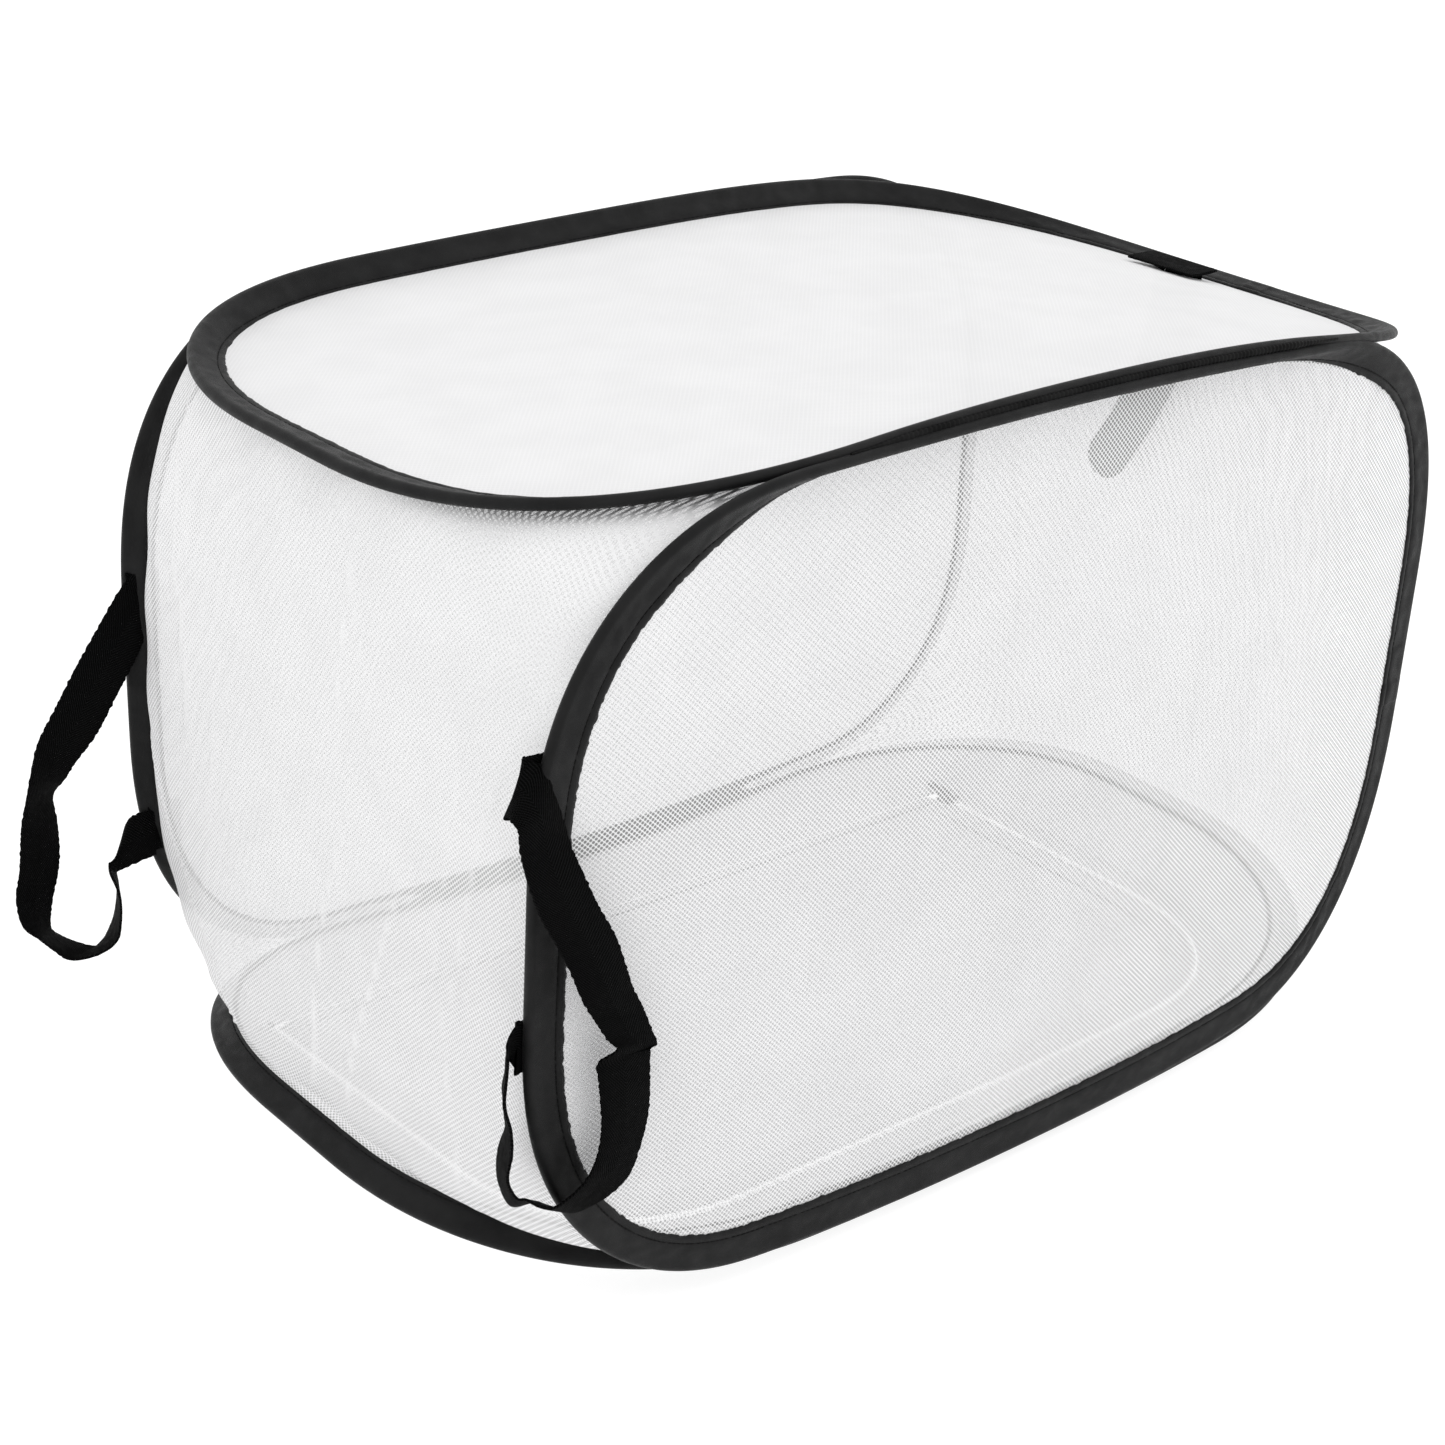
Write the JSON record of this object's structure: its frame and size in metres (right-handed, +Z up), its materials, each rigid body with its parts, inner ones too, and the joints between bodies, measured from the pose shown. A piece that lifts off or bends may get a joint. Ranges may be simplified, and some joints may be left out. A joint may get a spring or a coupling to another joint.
{
  "type": "insect cage",
  "caption": "Pop-up mesh insect cage: sprung fabric hoops carry mesh walls, the floor has a zipped door, and webbing handles hang at one end.",
  "frame": {"origin": "middle of the bounding box in plan, on the surface that the cage stands on", "axes": "+X along the cage's length towards the end without handles, +Y from the front wall to the back wall, +Z up"},
  "size_m": [0.6606, 0.3918, 0.3916],
  "materials": {
    "casing_fabric": "black woven polyester",
    "mesh_fabric": "white knitted mesh",
    "webbing": "black woven webbing",
    "zip_tape": "white woven tape",
    "zip_coil": "white nylon coil",
    "steel": "bare steel"
  },
  "bodies": {
    "base": {"bottom_casing": "casing_fabric", "bottom_spring_wire": "steel", "bottom_wire_sleeve": "steel", "front_bottom_seam": "casing_fabric", "back_bottom_seam": "casing_fabric", "floor_border_mesh": "mesh_fabric", "outer_zip_tape": "zip_tape", "outer_zip_coil": "zip_coil", "left_zip_stop": "steel", "right_zip_stop": "steel", "left_end_mesh": "mesh_fabric", "right_end_mesh": "mesh_fabric"},
    "front_panel": {"front_casing": "casing_fabric", "front_spring_wire": "steel", "front_wire_sleeve": "steel", "front_mesh": "mesh_fabric", "front_handle_top_tab": "webbing", "front_handle_bottom_tab": "webbing"},
    "back_panel": {"back_casing": "casing_fabric", "back_spring_wire": "steel", "back_wire_sleeve": "steel", "back_mesh": "mesh_fabric", "back_handle_top_tab": "webbing", "back_handle_bottom_tab": "webbing"},
    "top_panel": {"top_casing": "casing_fabric", "top_spring_wire": "steel", "top_wire_sleeve": "steel", "top_mesh": "mesh_fabric", "front_top_seam": "casing_fabric", "back_top_seam": "casing_fabric", "hanging_loop_patch": "webbing", "hanging_loop": "webbing"},
    "door_flap": {"door_mesh": "mesh_fabric", "inner_zip_tape": "zip_tape", "inner_zip_coil": "zip_coil"},
    "slider": {"zip_slider": "steel"},
    "pull": {"zip_pull": "steel"},
    "front_handle": {"front_handle_strap": "webbing"},
    "back_handle": {"back_handle_strap": "webbing"}
  },
  "joints": [
    {"name": "front_fold", "type": "hinge", "parent": "base", "child": "front_panel", "pos_m": [0.03047, -0.1739, 0.0058], "axis": [-1, 0, 0], "range_deg": [-86, 0], "stiffness_Nm_per_rad": 3, "springref_deg": 8.59, "deforming": ["left_end_mesh", "right_end_mesh", "hanging_loop"]},
    {"name": "back_fold", "type": "hinge", "parent": "base", "child": "back_panel", "pos_m": [0.03047, 0.1761, 0.0058], "axis": [-1, 0, 0], "range_deg": [-86, 0]},
    {"name": "top_fold", "type": "hinge", "parent": "front_panel", "child": "top_panel", "pos_m": [0.03047, -0.1739, 0.3858], "axis": [-1, 0, 0], "range_deg": [0, 86]},
    {"name": "door_hinge", "type": "hinge", "parent": "base", "child": "door_flap", "pos_m": [0.03047, 0.1211, 0.0029], "axis": [-1, 0, 0], "range_deg": [0, 80]},
    {"name": "zip_slide", "type": "slide", "parent": "base", "child": "slider", "axis": [0, -1, 0], "range_m": [0, 0.13]},
    {"name": "pull_hinge", "type": "hinge", "parent": "slider", "child": "pull", "pos_m": [0.26847, 0.1108, 0.0082], "axis": [1, 0, 0], "range_deg": [0, 150]},
    {"name": "front_handle_swing", "type": "hinge", "parent": "front_panel", "child": "front_handle", "pos_m": [-0.27253, -0.17285, 0.2138], "axis": [0, 0, 1], "range_deg": [-90, 0]},
    {"name": "back_handle_swing", "type": "hinge", "parent": "back_panel", "child": "back_handle", "pos_m": [-0.27253, 0.17505, 0.1658], "axis": [0, 0, 1], "range_deg": [-60, 60]}
  ],
  "couplings": [
    {"joint": "back_fold", "follows": "front_fold", "ratio": 1},
    {"joint": "top_fold", "follows": "front_fold", "ratio": -1}
  ]
}
